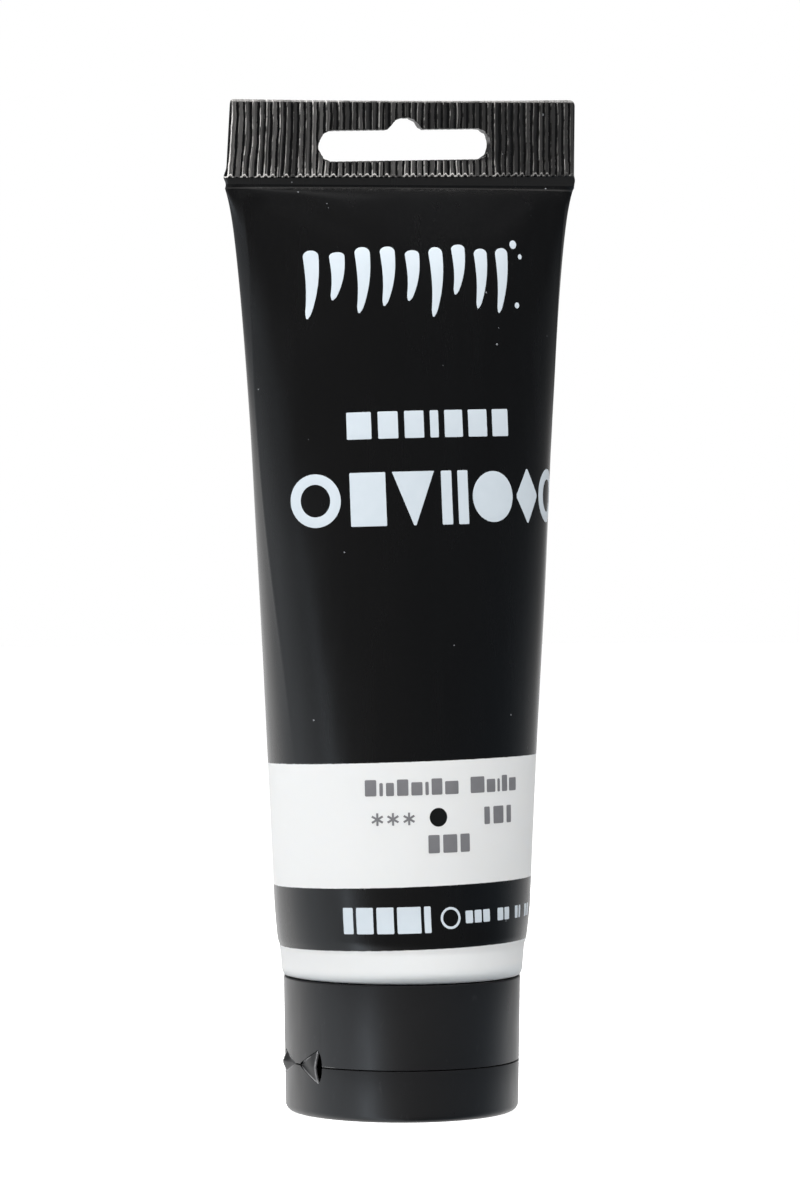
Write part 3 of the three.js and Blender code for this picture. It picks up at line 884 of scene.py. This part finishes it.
def brush_dabs(ink, left, right, middle, height, count):
    """A row of slanted dabs from a loaded brush, each tapering as it runs dry, and a few drops."""
    run = np.linspace(0, 1, 34) ** 1.5
    rounded = np.sqrt(1 - (1 - np.minimum(run / 0.09, 1)) ** 2)
    for i in range(count):
        share = i / (count - 1)
        tall = height * (0.84 + 0.16 * math.cos(2.4 * i + 0.6))
        start = middle + height / 2 - 0.9 * (0.5 + 0.5 * math.sin(1.9 * i))
        u = left + (right - left) * share - 1.5 * run + 0.7 * np.sin(run * 2.6)
        z = start - tall * run
        width = (1.22 - 0.9 * run**1.6) * rounded * (1 - smoothstep(0.93, 1.0, run) * 0.8)
        ink.stroke(np.stack([u, z], axis=1), width + 0.06)
    for du, dz, radius in ((2.6, 5.6, 0.7), (4.0, 3.6, 0.42), (2.9, -4.4, 0.5)):
        ink.disc(right + du, middle + dz, radius)


def bold_shapes(ink, low, high):
    """Seven plain shapes in a row: the big line of the print."""
    middle, half = (low + high) / 2, (high - low) / 2
    ink.circle(-20.0, middle, half - 0.85, 0.85, squash=0.93)
    ink.block(-14.4, -8.6, low, high)
    fall = np.linspace(0, 1, 16)
    ink.stroke([(-3.9, high - (high - low) * f) for f in fall], 3.6 - 3.4 * fall)
    for left in (0.9, 3.9):
        ink.block(left, left + 1.9, low, high)
    ink.disc(10.8, middle, half * 0.95)
    ink.stroke([(18.6, low + (high - low) * f) for f in fall], 0.15 + 2.7 * (1 - np.abs(2 * fall - 1)))
    ink.circle(25.6, middle, half - 0.85, 0.85, squash=0.8)


def asterisk(ink, u, z, radius):
    for k in range(3):
        angle = math.radians(90 + 60 * k)
        reach = np.linspace(-radius, radius, 5)
        ink.stroke([(u + r * math.cos(angle), z + r * math.sin(angle)) for r in reach], 0.17)


def print_marks(grid):
    pale = Print(grid)
    brush_dabs(pale, -19.2, 14.6, 135.3, 11.4, 9)
    pale.words(-14.6, 14.4, 109.6, 114.0, (1.2, 1, 1, 0.45, 1, 1.1, 1), 1.1)
    bold_shapes(pale, 95.5, 104.2)
    pale.words(-17.5, -3.2, 30.4, 34.6, (0.6, 1, 1, 1.4, 0.4), 0.55)
    pale.circle(0.2, 32.6, 1.55, 0.20)
    pale.words(2.9, 20.2, 31.6, 33.6, (0.9, 0.9, 0.9, 0, 0.9, 0.8, 0, 0.6, 0.4, 0, 0.6, 0.6), 0.35)
    back = GIRTH / 2
    for line, height in enumerate(np.linspace(128, 66, 13)):
        inset = 9.0 if line % 5 == 4 else 0.0
        widths = (2, 3, 1.6, 2.4, 1.2, 2.8, 2) if line % 2 else (1.4, 2.6, 2.2, 3, 1.8, 2.4)
        pale.words(back - 19, back + 19 - inset, height, height + 1.3, widths, 0.9)
    pale.finish("print_pale_marks", PALE_INK)

    grey = Print(grid)
    widths = (1, 0.3, 0.7, 1, 1, 0.3, 1, 1.3, 0, 1.5, 1, 0.3, 0.7, 1)
    grey.words(-13.4, 14.6, 52.3, 54.4, widths, 0.5, tall=0.5)
    for u in (-11.5, -9.0, -6.4):
        asterisk(grey, u, 48.6, 1.0)
    grey.words(7.0, 13.2, 47.2, 50.0, (0.5, 1, 0.5), 0.8)
    grey.words(-3.3, 4.0, 43.0, 45.9, (1, 1.3, 0.9), 0.6)
    grey.words(back - 15, back + 15, 52.3, 53.6, (2, 3, 2, 3, 2), 0.8)
    grey.words(back - 15, back + 8, 48.9, 50.2, (3, 2, 2, 3), 0.8)
    grey.finish("print_grey_marks", GREY_INK)

    black = Print(grid)
    black.disc(-1.5, 48.7, 1.5)
    black.finish("print_black_marks", BLACK_INK)


print_marks(sleeve)

# ------------------------------------------------------------------ the cap, the lid and the hinge

WING_LENGTH = 5.55
WING_HALF = {1: 2.7, -1: 1.9}  # half the height of the web nearer the front, and of the rear one
PARTING_GAP = 0.16
HINGE_FRAME = Matrix((
    (HINGE_ALONG.x, 0, HINGE_OUT.x, HINGE_POINT.x),
    (HINGE_ALONG.y, 0, HINGE_OUT.y, HINGE_POINT.y),
    (0, 1, 0, HINGE_POINT.z),
    (0, 0, 0, 1),
))


def wing_window(end):
    """Outline of the opening behind one wing, in the hinge's own frame: along, up."""
    far = WING_LENGTH + 0.95
    outer = [(far - 0.8 * abs(k) ** 2.6, WING_HALF[end] * 1.03 * k) for k in np.linspace(-1, 1, 13)]
    outline = [(1.0, -0.25), *outer, (1.0, 0.25)]
    return [(end * x, y) for x, y in outline]


def cut_windows(piece):
    for end in (-1, 1):
        cut(piece, prism("window_cutter", wing_window(end), -4.2, 3, HINGE_FRAME))


def make_cap():
    bottom = PARTING + PARTING_GAP / 2
    outline = fillet([
        (1.9, 6.6, 0),
        (3.0, 6.6, 0.3),
        (3.7, 7.9, 0.4),
        (4.8, bottom, 0.4),
        (16.2, bottom, 0.2),
        (16.2, 7.3, 0.2),
        (17.1, 7.3, 0.2),
        (17.35, 7.7, 0.15),
        (17.15, 8.1, 0.1),
        (17.15, bottom, 0.1),
        (LID_RADIUS, bottom, 0.09),
        (CAP_RADIUS, CAP_TOP, 0.22),
        (CAP_RADIUS - 1.2, CAP_TOP, 0.2),
        (LID_RADIUS - 1.6, bottom + 1.4, 0.4),
        (12.3, bottom + 1.4, 0.3),
        (12.1, 20.2, 0.3),
        (10.35, 20.2, 0.3),
        (10.35, bottom + 1.4, 0.2),
        (1.9, bottom + 1.4, 0),
    ])
    piece = turned("cap_base_moulded", outline, CAP_BLACK)
    cut_windows(piece)
    cut_thumb_scoop(piece)
    sharpen(piece)
    put_on(piece, "cap", "cap_base")


def make_lid():
    inner = LID_RADIUS - 1.4
    top = PARTING - PARTING_GAP / 2
    outline = fillet([
        (0, 0, 0),
        (19.05, 0, 1.2),
        (LID_RADIUS, top, 0.09),
        (inner, top, 0.12),
        (inner, 7.3, 0.1),
        (inner - 0.2, 6.9, 0.1),
        (inner, 6.5, 0.1),
        (inner - 0.2, 2.4, 0.5),
        (inner - 1.1, 1.5, 0.4),
        (2.1, 1.5, 0.3),
        (1.6, 2.4, 0.3),
        (1.5, 7.8, 0.2),
        (1.1, 8.2, 0.2),
        (0, 8.2, 0),
    ])
    piece = turned("flip_lid_moulded", outline, CAP_BLACK)
    cut_windows(piece)
    sharpen(piece)
    put_on(piece, "lid", "flip_lid")


def make_wing(end, name, nodes, proud):
    """One web of the butterfly hinge, from the cap's wall over the fold line to the lid's wall."""
    along_steps, up_steps = 28, 32
    thickness = 0.3
    front, back, web_edge_wear_and_highlight = [], [], []
    for i in range(along_steps + 1):
        share = i / along_steps
        along = 0.6 + (WING_LENGTH - 0.6) * share
        half = 0.34 + (WING_HALF[end] - 0.34) * share**1.08
        wall = HINGE_RADIUS - math.sqrt((LID_RADIUS - 0.1) ** 2 - along**2)
        for k in range(up_steps + 1):
            up = 2 * k / up_steps - 1
            bulge = (1 - abs(up) ** 1.3) * proud
            hollow = (0.28 * (1 - share) + 0.10 * math.sin(5.5 * share + 1.5 * up)) * (1 - up * up)
            inset = -wall * (1 - bulge) - 0.02 - hollow
            reach = along - 0.30 * share * (1 - up * up)
            front.append(HINGE_FRAME @ Vector((end * reach, up * half, inset)))
            back.append(HINGE_FRAME @ Vector((end * reach, up * half * 0.97, inset - thickness)))
            # Pale edge marks: partly stress whitening, partly painted highlight along the lower, upper and
            # free edges.
            lower_edge = math.exp(-(((1 + up) * half / 0.22) ** 2))
            upper_edge = math.exp(-(((0.86 - up) * half / 0.16) ** 2)) * (1 - smoothstep(0.35, 0.75, share))
            free_edge = math.exp(-(((1 - share) * WING_LENGTH / 0.26) ** 2))
            web_edge_wear_and_highlight.append(min(1.0, 0.8 * lower_edge + 0.9 * upper_edge + 0.6 * free_edge))
    points = front + back
    wide = up_steps + 1
    offset = len(front)
    faces = []
    for i in range(along_steps):
        for k in range(up_steps):
            a, b = i * wide + k, i * wide + k + 1
            c, d = (i + 1) * wide + k + 1, (i + 1) * wide + k
            faces.append((a, b, c, d))
            faces.append((offset + d, offset + c, offset + b, offset + a))
    border = [i * wide for i in range(along_steps + 1)]
    border += [along_steps * wide + k for k in range(1, wide)]
    border += [i * wide + up_steps for i in range(along_steps - 1, -1, -1)]
    border += [k for k in range(up_steps - 1, 0, -1)]
    for a, b in zip(border, border[1:] + border[:1]):
        faces.append((a, offset + a, offset + b, b))
    piece = facing_out(mesh_object(name, points, faces, WEB_BLACK))
    set_attribute(piece, "web_edge_wear_and_highlight", web_edge_wear_and_highlight + [0.0] * offset)
    sharpen(piece, 60)
    up = Vector((0, 0, 1)) * 0.35
    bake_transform(piece)
    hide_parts(*nodes)


def cut_thumb_scoop(piece):
    """A shallow hollow in the cap's wall, opposite the hinge."""
    ball = bmesh.new()
    bmesh.ops.create_uvsphere(ball, u_segments=64, v_segments=32, radius=1)
    mesh = bpy.data.meshes.new("scoop_cutter")
    ball.to_mesh(mesh)
    ball.free()
    place = Vector((0, 0, PARTING + 0.55)) - HINGE_OUT * LID_RADIUS
    turn = Matrix.Rotation(math.atan2(HINGE_OUT.y, HINGE_OUT.x), 4, "Z")
    mesh.transform(Matrix.Translation(place * MM) @ turn @ Matrix.Diagonal((1 * MM, 8 * MM, 3.6 * MM, 1)))
    cut(piece, new_object("scoop_cutter", mesh))


def make_cap_thread():
    """The screw ridge inside the cap's collar, fading in and out at its ends."""
    turns, pitch, start, root, crest = 1.25, 3.0, 13.3, 10.45, 9.15
    steps = 96
    points = []
    for i in range(steps + 1):
        share = i / steps
        angle = share * turns * 2 * math.pi
        reach = (root - crest) * smoothstep(0, 0.12, share) * (1 - smoothstep(0.88, 1, share)) + 0.12
        middle = start + pitch * turns * share
        for out, up in ((0, -0.95), (reach, -0.4), (reach, 0.4), (0, 0.95)):
            radius = root - out
            points.append((radius * math.cos(angle), radius * math.sin(angle), middle + up))
    piece = facing_out(mesh_object("cap_thread_ridge", points, ring_faces(steps + 1, 4), CAP_BLACK))
    sharpen(piece, 40)
    put_on(piece, "cap")


make_cap()
make_lid()
make_wing(1, "hinge_web_front", ("hinge_wing_front_cap", "hinge_wing_front_lid"), 0.3)
make_wing(-1, "hinge_web_rear", ("hinge_wing_rear_cap", "hinge_wing_rear_lid"), 0.9)
make_cap_thread()

for node, material in (
    ("tube_head", HEAD_WHITE),
    ("foil_seal", FOIL),
    ("sealing_washer", FOAM),
    ("paint_fill", PAINT),
):
    frame["nodes"][node].data.materials.clear()
    frame["nodes"][node].data.materials.append(material)

# ------------------------------------------------------------------ stage, light and camera


def make_floor():
    """Pale where the camera sees it; darker in reflections, as if it ended close to the tube."""
    material, n, shader, place = new_material("pale_floor")
    pale = n.mix(n.noise(place, 3, 2), (0.90, 0.90, 0.90, 1), (0.92, 0.92, 0.92, 1))
    n.link(pale, shader.inputs["Base Color"])
    shader.inputs["Roughness"].default_value = 0.7
    shader.inputs["Specular IOR Level"].default_value = 0.2
    shader.inputs["Emission Color"].default_value = (1, 1, 1, 1)
    shader.inputs["Emission Strength"].default_value = 0.95
    dim = n.add("BsdfDiffuse")
    dim.inputs["Color"].default_value = (0.16, 0.16, 0.165, 1)
    seen = n.add("LightPath").outputs["Is Camera Ray"]
    either = n.add("MixShader")
    n.link(seen, either.inputs["Fac"])
    n.link(dim.outputs[0], either.inputs[1])
    n.link(shader.outputs[0], either.inputs[2])
    output = next(node for node in material.node_tree.nodes if node.type == "OUTPUT_MATERIAL")
    n.link(either.outputs[0], output.inputs["Surface"])
    size = 6000
    corners = [(-size, -size, 0), (size, -size, 0), (size, size, 0), (-size, size, 0)]
    floor = mesh_object("floor", corners, [(0, 1, 2, 3)], material)
    floor.visible_glossy = False


# Degrees round from the camera, to the left below 0; brightness; share of blue. The low ring is what the
# cap and the tube's foot mirror, and the high ring is what the rest of the tube mirrors.
LOW_RING = [
    (-180, 1.0, 1.0), (-145, 1.4, 1.0), (-118, 1.7, 1.0), (-100, 1.4, 1.03), (-75, 1.05, 1.06),
    (-50, 0.98, 1.06), (-41, 0.95, 1.06), (-34, 3.6, 1.1), (-27, 1.0, 1.06), (-15, 0.5, 1.0),
    (0, 0.24, 1.0), (18, 0.18, 1.0), (45, 0.14, 1.1), (72, 0.16, 1.2), (93, 0.24, 1.2),
    (118, 0.8, 1.05), (140, 1.1, 1.0), (180, 1.0, 1.0),
]
HIGH_RING = [
    (-180, 1.0, 1.0), (-145, 1.4, 1.0), (-118, 1.7, 1.0), (-100, 1.35, 1.03), (-75, 1.1, 1.06),
    (-60, 0.8, 1.06), (-48, 0.5, 1.06), (-38, 0.34, 1.06), (-25, 0.16, 1.0), (0, 0.12, 1.0),
    (20, 0.1, 1.0), (50, 0.08, 1.4), (72, 0.08, 1.6), (93, 0.1, 1.4), (118, 0.24, 1.1),
    (140, 0.4, 1.0), (158, 0.75, 1.0), (180, 1.0, 1.0),
]


def ring_ramp(n, share, ring):
    ramp = n.add("ValToRGB")
    n.link(share, ramp.inputs["Fac"])
    elements = ramp.color_ramp.elements
    while len(elements) < len(ring):
        elements.new(0.5)
    for element, (degrees, level, blue) in zip(elements, ring):
        element.position = degrees / 360 + 0.5
        element.color = (level * (2 - blue), level, level * blue, 1)
    return ramp.outputs["Color"]


def make_world():
    """White to the camera; for light and reflections, a ring that is dark behind the camera."""
    world = bpy.data.worlds.new("studio")
    bpy.context.scene.world = world
    world.use_nodes = True
    n = Nodes(world.node_tree)
    direction = n.add("NewGeometry").outputs["Incoming"]
    facing = n.dot(direction, VIEW_BACK * -1)
    side = n.dot(direction, VIEW_RIGHT * -1)
    up = n.dot(direction, (0, 0, -1))
    turn = n.math("ARCTAN2", side, facing)
    share = n.plus(n.math("DIVIDE", turn, 2 * math.pi), 0.5)
    ring = n.mix(n.step(up, -0.11, -0.04), ring_ramp(n, share, LOW_RING), ring_ramp(n, share, HIGH_RING))
    high_dark = n.times(n.step(up, -0.045, 0.02, 1.0, 0.55), n.step(up, 0.0, 0.17, 1.0, 0.15))
    ahead = n.step(facing, -0.985, -0.9)
    fade = n.plus(n.times(high_dark, ahead), n.rest_of(ahead))
    ring = n.mix(1.0, ring, fade, "MULTIPLY")
    overhead = n.step(up, 0.93, 1.0)
    light = n.mix(overhead, ring, (0.5, 0.5, 0.5, 1))
    seen = n.add("LightPath").outputs["Is Camera Ray"]
    background = n.add("Background")
    n.link(n.mix(seen, light, (1, 1, 1, 1)), background.inputs["Color"])
    output = n.add("OutputWorld")
    n.link(background.outputs[0], output.inputs["Surface"])


def soft_box(name, azimuth, elevation, distance, width, height, power):
    """A light aimed at the tube's middle, from this many degrees right of the camera and up."""
    turn = VIEW_AZIMUTH + math.radians(azimuth)
    rise = math.radians(elevation)
    back = Vector((math.sin(turn) * math.cos(rise), -math.cos(turn) * math.cos(rise), math.sin(rise)))
    data = bpy.data.lights.new(name, "AREA")
    data.shape = "RECTANGLE"
    data.size, data.size_y = width * MM, height * MM
    data.energy = power
    light = new_object(name, data)
    light.location = Vector((0, 0, TOTAL_HEIGHT / 2 * MM)) + back * distance * MM
    light.rotation_mode = "QUATERNION"
    light.rotation_quaternion = back.to_track_quat("Z", "Y")
    light.visible_glossy = False


def make_camera():
    """At the photograph's angle: level, 24 degrees to the left of the front, about 640 mm away."""
    distance = 640
    data = bpy.data.cameras.new("camera")
    data.sensor_width = 36
    data.lens = 117
    data.clip_start, data.clip_end = 0.01, 50
    camera = new_object("camera", data)
    level = TOTAL_HEIGHT / 2 + 0.65
    aside = -0.33
    camera.location = (VIEW_BACK * distance + VIEW_RIGHT * aside + Vector((0, 0, level))) * MM
    camera.rotation_mode = "QUATERNION"
    camera.rotation_quaternion = VIEW_BACK.to_track_quat("Z", "Y")
    bpy.context.scene.camera = camera


make_floor()
make_world()
soft_box("key_left", -62, 40, 1100, 700, 500, 12.4)
soft_box("key_front", -8, 42, 1100, 700, 500, 6.6)
soft_box("key_right", 68, 40, 1100, 700, 500, 8.3)
soft_box("top", 0, 88, 900, 900, 900, 6)
make_camera()
bpy.context.scene.view_settings.view_transform = "Standard"
